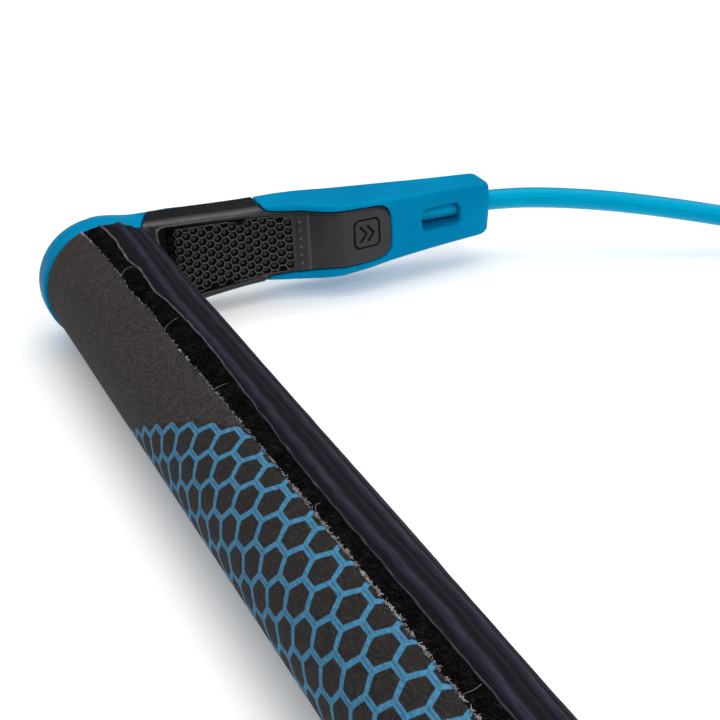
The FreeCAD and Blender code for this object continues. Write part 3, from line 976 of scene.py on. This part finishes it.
def threads(roots, tips, sag, radius):
    """Many fine bent threads as three-sided spikes, each from a root to a tip, bowed by sag."""
    roots, tips, sag = (np.asarray(x, float) for x in (roots, tips, sag))
    count, sides = len(roots), 3
    along = tips - roots
    along /= np.maximum(np.linalg.norm(along, axis=1), 1e-6)[:, None]
    helper = np.where(np.abs(along[:, :1]) < 0.8, [[1.0, 0.0, 0.0]], [[0.0, 0.0, 1.0]])
    side = np.cross(along, helper)
    side /= np.linalg.norm(side, axis=1)[:, None]
    other = np.cross(along, side)
    stations = ((0.0, 1.0, 0.0), (0.5, 0.9, 1.0), (1.0, 0.45, 0.0))
    turns = [2 * math.pi * k / sides for k in range(sides)]
    rings = [roots + (tips - roots) * share + sag * bow
             + (side * math.cos(turn) + other * math.sin(turn)) * radius * width
             for share, width, bow in stations for turn in turns]
    size = len(rings)
    quads = np.array(grid_faces(len(stations), sides, True))
    caps = np.array([[2, 1, 0], [size - 3, size - 2, size - 1]])
    starts = (np.arange(count) * size)[:, None, None]
    faces = (quads + starts).reshape(-1, 4).tolist() + (caps + starts).reshape(-1, 3).tolist()
    return np.stack(rings, axis=1).reshape(-1, 3), faces


def pile_hairs():
    """The black pile of the fastener strip, combed flat in patches."""
    pick = np.random.default_rng(HAIR_SEED)
    u = pick.uniform(BAR_FROM + 0.4, BAR_TO - 0.4, HAIRS)
    low, high = binding_edge(u) + 0.8, wrap_edge(u)
    angle = low + (high - low) * pick.uniform(0.0, 1.0, HAIRS)
    roots = on_bar(u, angle, PILE_R - 0.05)
    lean = 1.3 * ripple(u, 3.0, 12.0, HAIR_SEED) + pick.normal(0, 0.7, HAIRS)
    length = pick.uniform(0.5, 1.5, HAIRS)
    tips = on_bar(u + length * np.sin(lean), angle + length * np.cos(lean) * 2.6,
                  PILE_R + pick.uniform(0.05, 0.60, HAIRS))
    sag = on_bar(np.zeros(HAIRS), angle, pick.uniform(0.0, 0.2, HAIRS))
    return threads(roots, tips, sag, HAIR_R)


def worn_share(u):
    """How frayed the cut edge is: more and more from the left end to past the middle."""
    first, second = np.clip((u - 25.0) / 90.0, 0.0, 1.0), np.clip((u - 122.0) / 25.0, 0.0, 1.0)
    return 0.25 + 0.40 * first + 0.85 * second


def frayed_edge():
    """White thread ends along the wrap's cut edge, in uneven clumps."""
    pick = np.random.default_rng(FRAY_SEED)
    u = pick.uniform(BAR_FROM + 0.3, BAR_TO - 0.3, FRAYS)
    dense = worn_share(u) * (0.34 + 0.42 * ripple(u, 2.0, 10.0, FRAY_SEED))
    u = np.sort(u[pick.uniform(0, 1, FRAYS) < np.clip(dense, 0.05, 1.0)])
    clumps = (BAR_FROM + 2.6 + pick.normal(0, 1.2, 150), BAR_FROM + 7.4 + pick.normal(0, 0.6, 26),
              BAR_TO - 2.0 - np.abs(pick.normal(0, 1.6, 46)))
    u = np.clip(np.concatenate([u, *clumps]), BAR_FROM + 0.1, BAR_TO - 0.1)
    count = len(u)
    edge = wrap_edge(u)
    roots = on_bar(u, edge + pick.uniform(-0.2, 1.4, count), GRIP_R - 0.16)
    swing = pick.normal(0, 0.6, count)
    length = pick.uniform(0.25, 0.80, count) * (0.8 + 0.4 * worn_share(u))
    tips = on_bar(u + swing * length, edge - length * pick.uniform(-1.2, 2.2, count),
                  GRIP_R - pick.uniform(-0.20, 0.30, count))
    sag = on_bar(np.zeros(count), edge, pick.uniform(0.0, 0.16, count))
    return threads(roots, tips, sag, FRAY_R)


def loose_threads():
    """A few pale threads pulled across the pile."""
    pick = random.Random(FRAY_SEED)
    shapes = []
    at = BAR_FROM + 31.0
    while at < BAR_TO - 10:
        share = np.linspace(0, 1, 13)
        bow = np.sin(np.pi * share)
        lean = pick.uniform(-4.0, 4.0)
        reach = pick.uniform(0.45, 1.0)
        start, end = float(wrap_edge(at)) + 0.5, float(binding_edge(at)) + 1.0
        path = on_bar(at + lean * share + pick.uniform(-1.6, 1.6) * bow,
                      start + (end - start) * share * reach,
                      PILE_R + 0.15 + pick.uniform(0.1, 0.3) * bow)
        shapes.append(tube_round(path, np.full(13, LOOSE_R), 5))
        at += pick.choice((31.0, 38.0, 44.0, 52.0, 61.0))
    return joined(shapes)


def binding_shape():
    """The pale bound edge of the folded fabric, which puckers and gets thinner and thicker."""
    u = np.linspace(BAR_FROM, BAR_TO, 420)
    rise = BINDING_R + 0.10 * ripple(u, 6.0, 18.0, 33)
    thick = (0.22 + 0.08 * np.exp(-from_end(u) / 50.0)) * (1.0 + 0.28 * ripple(u, 3.0, 14.0, 34))
    return tube_round(on_bar(u, binding_edge(u), rise), thick, 8)


def make_grip(suede, fabric, binding, pile, hair, thread):
    """The wrap, the folded fabric, its bound edge, the pile strip and the frayed threads."""
    def add(name, shape, material, stands_for=(), marks=None):
        points, faces, cloth = (*shape, None)[:3]
        return make_piece(name, to_part(points), faces, material, stands_for, cloth, marks)

    length, wrap_end = (BAR_TO - BAR_FROM) * MM, FOLD_FROM + 360
    wrap = add("wrap_cloth", wrapped_sheet(wrap_edge, steady(wrap_end), 110, wrap_surface, UNDER_R),
               suede, ["grip_wrap"])
    folded = wrapped_sheet(steady(FOLD_FROM + 0.1), lambda u: binding_edge(u) - 0.6, 90, fold_surface,
                           UNDER_R)
    along, across = folded[2].T / MM
    # The folds' crests go to the fabric's material, which paints them lighter and the valleys darker, as
    # light and shade.
    crest = fold_relief(along, np.degrees(across / GRIP_R))
    fold = add("folded_cloth", folded, fabric, ["fabric_fold"],
               np.stack([crest, np.zeros(len(crest))], axis=1))
    add("bound_edge", binding_shape(), binding, ["fold_binding"])
    base = wrapped_sheet(lambda u: binding_edge(u) - 0.5, lambda u: wrap_edge(u) + 0.4, 12,
                         lambda u, angle: PILE_R + 0.05 * ripple(u, 2.0, 6.0, 41), UNDER_R)
    add("pile_base", base[:2], pile, ["pile_strip"])
    add("pile_hairs", pile_hairs(), hair)
    add("frayed_threads", joined([frayed_edge(), loose_threads()]), thread)


# ---- finishes of the fabrics ----
PRINT_R = 3.86            # from a printed hexagon's middle to its corner
PRINT_AT = (109.3, 132.0)  # a printed hexagon's middle: along the bar, and degrees round it
PRINT_LINE, PRINT_EDGE = 0.60, 0.09  # half the width of a printed line, and of its soft edge
LAST_ROW = 22.0           # where the print ends, in half hexagon steps from that hexagon
YARN = 0.42               # between the navy lining's lengthwise yarns


def printed_suede_finish():
    """Brushed dark suede with a printed net of hexagons, which starts and ends on a slant."""
    made = Finish("printed_suede_finish", Roughness=0.92, Specular_IOR_Level=0.08,
                  Sheen_Weight=0.04, Sheen_Roughness=0.5)
    cloth = made.cloth()
    along, across, _ = made.split(cloth)
    reach = math.sqrt(3) * PRINT_R / 2
    wander = made.times(made.minus(made.noise(cloth, 1.1), 0.5), 0.34)
    x = made.plus(made.minus(along, PRINT_AT[0]), wander)
    y = made.minus(across, math.radians(PRINT_AT[1]) * GRIP_R)
    ways = ((x, 1.5 * PRINT_R), (y, reach))

    def to_side(shift):
        """How far a point is from the nearest hexagon's middle, of every second row, towards any
        side, and towards a lengthwise one."""
        p, q = [made.back_and_forth(made.plus(way, shift * step), step) for way, step in ways]
        return made.larger(q, made.plus(made.times(p, math.cos(math.pi / 6)), made.times(q, 0.5))), q

    (first, first_q), (second, second_q) = to_side(0), to_side(1)
    nearest = made.smaller(first, second)
    line = made.span(nearest, reach - PRINT_LINE - PRINT_EDGE, reach - PRINT_LINE + PRINT_EDGE)
    lengthwise = made.larger(*[made.times(made.is_below(one, other), made.is_below(reach - 0.14, q))
                               for one, other, q in ((first, second, first_q), (second, first, second_q))])
    seam = made.times(lengthwise, made.is_below(made.minus(reach, nearest), 0.13))
    rows, columns = [made.count("DIVIDE", way, step) for way, step in ways]
    begun = made.span(made.plus(rows, columns), -1.47, -1.42)
    ended = made.span(made.minus(rows, columns), LAST_ROW + 1.42, LAST_ROW + 1.47, 1.0, 0.0)
    in_print = made.times(begun, ended)
    printed = made.times(made.times(line, in_print), made.minus(1.0, made.times(seam, 0.4)))
    speck = made.noise(cloth, 0.34, 2.0, 0.7)
    printed = made.times(printed, made.span(made.noise(cloth, 0.55, 3.0, 0.7), 0.60, 0.72, 1.0, 0.62))
    nap = made.noise(made.cloth((0.35, 1.0, 1.0)), 0.55, 4.0, 0.65)
    suede = made.mix(made.span(nap, 0.32, 0.68), srgb(30, 27, 27), srgb(73, 68, 66))
    for share, tint in (
            (made.span(made.noise(cloth, 16.0), 0.35, 0.65, 0.0, 0.35), srgb(54, 50, 50)),
            (made.span(made.noise(cloth, 2.4, 2.0), 0.40, 0.62, 0.0, 0.30), srgb(20, 18, 18)),
            (made.span(speck, 0.56, 0.76, 0.0, 0.7), srgb(120, 112, 110)),
            (made.span(speck, 0.26, 0.42, 0.6, 0.0), srgb(14, 12, 13)),
            (made.times(in_print, 0.45), srgb(20, 18, 20))):
        suede = made.mix(share, suede, tint)
    ink = made.mix(made.span(nap, 0.3, 0.7), srgb(48, 106, 142), srgb(82, 146, 182))
    made.set(Base_Color=made.mix(printed, suede, ink))
    height = made.plus(made.times(nap, 0.6), made.times(speck, 0.6))
    made.bump(made.plus(height, made.times(printed, 0.25)), 0.12)
    return made.material


def ribbed_fabric_finish():
    """Smooth navy lining with fine lengthwise yarns, its fold crests painted paler and its valleys darker,
    as painted light and shade.
    """
    made = Finish("navy_fabric_finish", Roughness=0.80, Specular_IOR_Level=0.10, Sheen_Weight=0.02)
    cloth = made.cloth()
    _, across, _ = made.split(cloth)
    wobble = made.times(made.noise(made.cloth((0.08, 1.0, 1.0)), 1.4), 0.9)
    yarn = made.sine(made.times(made.plus(across, wobble), 2 * math.pi / YARN))
    yarn = made.count("MULTIPLY_ADD", yarn, 0.5, 0.5)
    streak = made.noise(made.cloth((0.11, 1.0, 1.0)), 0.62, 4.0, 0.62)
    streak = made.span(streak, 0.32, 0.68)
    nap = made.noise(made.cloth((0.3, 1.0, 1.0)), 0.28, 2.0)
    crest, _ = made.marks()
    # Painted light and shade: the crests get the lighter navy and the valleys the darker one.
    shade = made.mix(made.span(crest, 0.15, 0.95), made.mix(streak, srgb(4, 4, 9), srgb(13, 13, 20)),
                     made.mix(streak, srgb(26, 27, 40), srgb(50, 52, 68)))
    made.set(Base_Color=made.mix(made.times(yarn, 0.06), shade, srgb(62, 64, 84)))
    made.bump(made.plus(made.times(yarn, 0.5), made.times(nap, 0.5)), 0.10)
    return made.material


def plain_cloth_finish(name, low, high, period, depth=0.08, gloss=0.1):
    """Yarn or webbing whose threads cross at a small period, in millimetres."""
    made = Finish(name, Roughness=0.85, Specular_IOR_Level=gloss)
    point = made.place()
    along, across, _ = made.split(point)
    waves = [made.sine(made.times(way, 2 * math.pi / period)) for way in (along, across)]
    weave = made.count("MULTIPLY_ADD", made.times(*waves), 0.5, 0.5)
    cloud = made.noise(point, 2.2, 4.0, 0.6)
    shade = made.mix(made.span(cloud, 0.3, 0.7), low, high)
    made.set(Base_Color=made.mix(made.times(weave, 0.25), shade, low))
    made.bump(made.plus(weave, cloud), depth)
    return made.material


def binding_finish():
    """The fabric's bound edge: pale by the elbows and darker towards the bar's middle."""
    made = Finish("grey_binding_finish", Roughness=0.85, Specular_IOR_Level=0.1)
    point = made.place()
    along, _, _ = made.split(point)
    darker_to_middle = made.span(made.count("ABSOLUTE", along), HALF_GRIP - 110.0, HALF_GRIP - 30.0, 1.0, 0.0)
    cloud = made.span(made.noise(point, 2.4, 4.0, 0.6), 0.3, 0.7)
    clean = made.mix(cloud, srgb(62, 62, 69), srgb(112, 112, 121))
    made.set(Base_Color=made.mix(darker_to_middle, clean, made.mix(cloud, srgb(36, 37, 45), srgb(70, 71, 82))))
    made.bump(made.noise(made.place((0.4, 1.0, 1.0)), 0.4), 0.08)
    return made.material


# ---- the bridle's fittings: yoke, coil straps and the loop's sleeve ----
YOKE = [[c / MM for c in corner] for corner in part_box("bridle_yoke")]
STRAP_ANGLE = -62.0       # where the left coil's strap is, in degrees from +X
STRAP_SPAN = (20.9, 42.8)  # the strap's middle line, from the coil's middle
STRAP_RISE = (0.56, 13.0)
STRAP_CORNER, STRAP_HALF_WIDTH, STRAP_HALF_THICK = 3.2, 6.8, 0.5
TAB_LENGTH, TAB_POINTS = 14.0, 16
# The straps' cross-section, as shares of half the width and half the thickness.
STRAP_SECTION = ((-1.0, 0.4), (-0.94, 1.0), (-0.45, 1.0), (0.0, 1.0), (0.45, 1.0), (0.94, 1.0),
                 (1.0, 0.4), (1.0, -0.4), (0.94, -1.0), (0.0, -1.0), (-0.94, -1.0), (-1.0, -0.4))
SLEEVE_TO_Y = 64.0        # the sleeve covers the loop up to here
SLEEVE_R = 4.0


def yoke_field(x, y, z):
    """The yoke: a waisted rubber block with grip ribs and a boss round each line."""
    middle = [(a + b) / 2 for a, b in zip(*YOKE)]
    half = [(b - a) / 2 for a, b in zip(*YOKE)]
    x, y, z = x - middle[0], y - middle[1], z - middle[2]
    waist = 1.7 * np.exp(-(y / 6.5) ** 2)
    body = rounded_box(x, z, half[0] - waist, half[2], 2.6)
    ribs = 0.45 * np.clip(np.cos(2 * np.pi * y / 3.6) * 1.6, -1, 1) * np.clip((9.5 - np.abs(y)) / 1.5, 0, 1)
    body = soft_max(body - 0.25 * ribs + 0.20, np.abs(y) - half[1], 1.8)
    line_at = TAIL_POINTS[-1][0] / MM
    past = np.abs(y) - half[1]
    boss = np.hypot(np.abs(x) - abs(line_at), z) - (4.1 - 0.16 * np.maximum(past + 2.0, 0.0))
    boss = np.maximum(soft_max(boss, past - 3.4, 0.6), 4.0 - np.abs(y))
    return soft_min(body, boss, 0.8)


def make_yoke(rubber):
    low, high = [[c + side * m for c, m in zip(corner, (1.2, 5.0, 1.2))]
                 for corner, side in zip(YOKE, (-1, 1))]
    points, faces = surface_of(yoke_field, low, high, (0.55, 0.55, 0.55))
    return make_piece("yoke_moulding", points * MM, faces, rubber, ["bridle_yoke"])


def strap_line(span, rise, corner, steps=10):
    """A closed rounded rectangle, out from the coil's middle and up, with its outward normals."""
    line, out = [], []
    corners = ((span[1] - corner, rise[1] - corner, 0), (span[0] + corner, rise[1] - corner, 90),
               (span[0] + corner, rise[0] + corner, 180), (span[1] - corner, rise[0] + corner, 270))
    for middle, height, start in corners:
        for k in range(steps + 1):
            angle = math.radians(start + 90 * k / steps)
            out.append((math.cos(angle), math.sin(angle)))
            line.append((middle + corner * math.cos(angle), height + corner * math.sin(angle)))
    return np.array(line), np.array(out)


def band(line, out, half_width, half_thick, closed):
    """A flat strap along a line of (distance out, height), lying across it, as points and quads."""
    points = []
    for place, normal in zip(line, out):
        for side, level in STRAP_SECTION:
            at = place + normal * level * half_thick
            points.append((at[0], side * half_width, at[1]))
    size = len(STRAP_SECTION)
    faces = (np.array(grid_faces(len(line) + closed, size, True)) % len(points)).tolist()
    if not closed:
        faces += [list(range(size))[::-1], [len(points) - size + k for k in range(size)]]
    return points, faces


def make_straps(webbing):
    """A strap with an overlapping end round each coil."""
    line, out = strap_line(STRAP_SPAN, STRAP_RISE, STRAP_CORNER)
    wrapped = band(line, out, STRAP_HALF_WIDTH, STRAP_HALF_THICK, True)
    share = np.linspace(0.0, 1.0, TAB_POINTS)
    lift = 0.62 + 0.9 * np.clip(share - 0.8, 0, 1) ** 2 * 6
    tab = np.stack([STRAP_SPAN[1] - 4.0 - TAB_LENGTH * share, STRAP_RISE[1] + 0.4 + lift], axis=1)
    flap = band(tab, np.tile([0.0, 1.0], (TAB_POINTS, 1)), STRAP_HALF_WIDTH - 0.5, 0.45, False)
    points, faces = joined([wrapped, flap])
    at, turn = np.array(points), math.radians(STRAP_ANGLE)
    x = COIL_MIDDLE[0] / MM + at[:, 0] * math.cos(turn) - at[:, 1] * math.sin(turn)
    y = COIL_MIDDLE[1] / MM + at[:, 0] * math.sin(turn) + at[:, 1] * math.cos(turn)
    return [make_piece(f"coil_strap_{side}", np.stack([sign * x, y, at[:, 2]], axis=1) * MM,
                       [face[::sign] for face in faces], webbing, [f"coil_tie_{side}"])
            for side, sign in (("left", 1), ("right", -1))]


def route_of(piece):
    """Points along the middle line of a cord, in millimetres."""
    bare = piece.copy()
    bare.data = piece.data.copy()
    bare.data.bevel_depth = 0
    mesh = bpy.data.meshes.new_from_object(bare)
    points = np.array([v.co for v in mesh.vertices]) / MM
    bpy.data.meshes.remove(mesh)
    bpy.data.objects.remove(bare)
    return points


def make_sleeve(loop, webbing):
    """A webbing tube over the tow loop, with a hem at each end."""
    route = route_of(loop)
    route = route[route[:, 1] < SLEEVE_TO_Y]
    reach = np.concatenate([[0.0], np.cumsum(np.linalg.norm(np.diff(route, axis=0), axis=1))])
    at = np.linspace(0.0, reach[-1], int(reach[-1] / 0.8))
    path = np.stack([np.interp(at, reach, route[:, k]) for k in range(3)], axis=1)
    along = np.gradient(path, axis=0)
    hem = np.minimum(at, reach[-1] - at)
    radii = SLEEVE_R - 0.12 + 0.08 * ripple(at, 3.0, 9.0, 51) + 0.16 * ((hem < 4.0) & (hem > 0.6))
    # Its ends turn in to the line and a little way along it.
    path, along = [np.concatenate([x[3:4], x[:1], x, x[-1:], x[-4:-3]]) for x in (path, along)]
    radii = np.pad(radii, 2, constant_values=LINE_R + 0.02)
    points, faces = tube_round(path, radii, 24, along)
    return make_piece("sleeve_webbing_tube", points * MM, faces, webbing, ["loop_sleeve"])


# ---- finishes of the pieces that are mostly out of sight ----
def foam_finish():
    """Closed-cell foam: small pores of different sizes."""
    made = Finish("grip_foam_finish", Roughness=0.95, Specular_IOR_Level=0.2)
    point = made.place()
    pores = made.cells(point, 0.7)
    shade = made.mix(made.noise(point, 5.0), srgb(34, 34, 36), srgb(58, 58, 60))
    made.set(Base_Color=made.mix(made.span(pores, 0.0, 0.25, 0.6, 0.0), shade, srgb(10, 10, 10)))
    made.bump(pores, 0.12)
    return made.material


def metal_finish(name, low, high, roughness):
    """Drawn or headed aluminium with fine lengthwise marks."""
    made = Finish(name, Metallic=1.0)
    marks = made.noise(made.place((0.05, 1.0, 1.0)), 0.25, 4.0)
    cloud = made.noise(made.place(), 7.0)
    made.set(Base_Color=made.mix(cloud, low, high),
             Roughness=made.plus(roughness - 0.1, made.times(marks, 0.25)))
    made.bump(marks, 0.02)
    return made.material


def nylon_finish():
    """Glass-filled nylon: pale fibres in a dark matrix."""
    made = Finish("nylon_insert_finish", Roughness=0.5, Specular_IOR_Level=0.4)
    fibre = made.noise(made.place((0.3, 1.0, 1.0)), 0.5, 5.0, 0.7)
    made.set(Base_Color=made.mix(made.span(fibre, 0.5, 0.75), srgb(30, 30, 32), srgb(74, 74, 76)))
    made.bump(fibre, 0.03)
    return made.material


def finish_frame_nodes(line, fabric):
    """Gives each CAD node that stays its finish."""
    nylon = nylon_finish()
    rivet = metal_finish("rivet_aluminium_finish", srgb(190, 190, 192), srgb(214, 214, 216), 0.35)
    finishes = {
        "core_tube": metal_finish("tube_aluminium_finish", srgb(150, 152, 156), srgb(182, 184, 188), 0.42),
        "grip_sleeve": foam_finish(),
        "fabric_underlay": fabric,
        "inner_line": line,
    }
    for side in ("left", "right"):
        finishes[f"elbow_insert_{side}"] = nylon
        finishes[f"insert_rivets_{side}"] = rivet
    for name, material in finishes.items():
        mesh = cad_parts[name].data
        mesh.materials.clear()
        mesh.materials.append(material)


make_camera()
make_stage()
LINE = coated_line_finish()
LEGS, LOOP = make_cords(LINE)
BLUE = moulding_finish("blue_moulding_finish", srgb(0, 128, 175), srgb(0, 140, 189), 0.45,
                       Specular_IOR_Level=0.05, Specular_Tint=COOL)
BLACK = moulding_finish("black_moulding_finish", srgb(16, 15, 18), srgb(25, 24, 27), 0.36, painted_light=True,
                        Specular_IOR_Level=0.38)
make_ends(BLUE, BLACK)
make_grip(printed_suede_finish(), ribbed_fabric_finish(), binding_finish(),
          plain_cloth_finish("black_pile_finish", srgb(4, 3, 4), srgb(15, 14, 15), 0.3, gloss=0.02),
          plain_cloth_finish("black_hair_finish", srgb(3, 2, 3), srgb(54, 51, 52), 0.3, gloss=0.05),
          plain_cloth_finish("thread_finish", srgb(110, 106, 108), srgb(205, 203, 208), 0.25))
YOKE_PIECE = make_yoke(moulding_finish("yoke_rubber_finish", srgb(24, 24, 26), srgb(36, 36, 38), 0.6,
                                       Specular_IOR_Level=0.3))
STRAPS = make_straps(plain_cloth_finish("tie_webbing_finish", srgb(18, 18, 20), srgb(44, 44, 48), 1.1, 0.2))
SLEEVE = make_sleeve(LOOP, plain_cloth_finish("sleeve_webbing_finish", srgb(22, 22, 24), srgb(52, 52, 56),
                                              1.3, 0.22))
finish_frame_nodes(LINE, plain_cloth_finish("underlay_finish", srgb(22, 22, 28), srgb(44, 44, 54), 0.5))
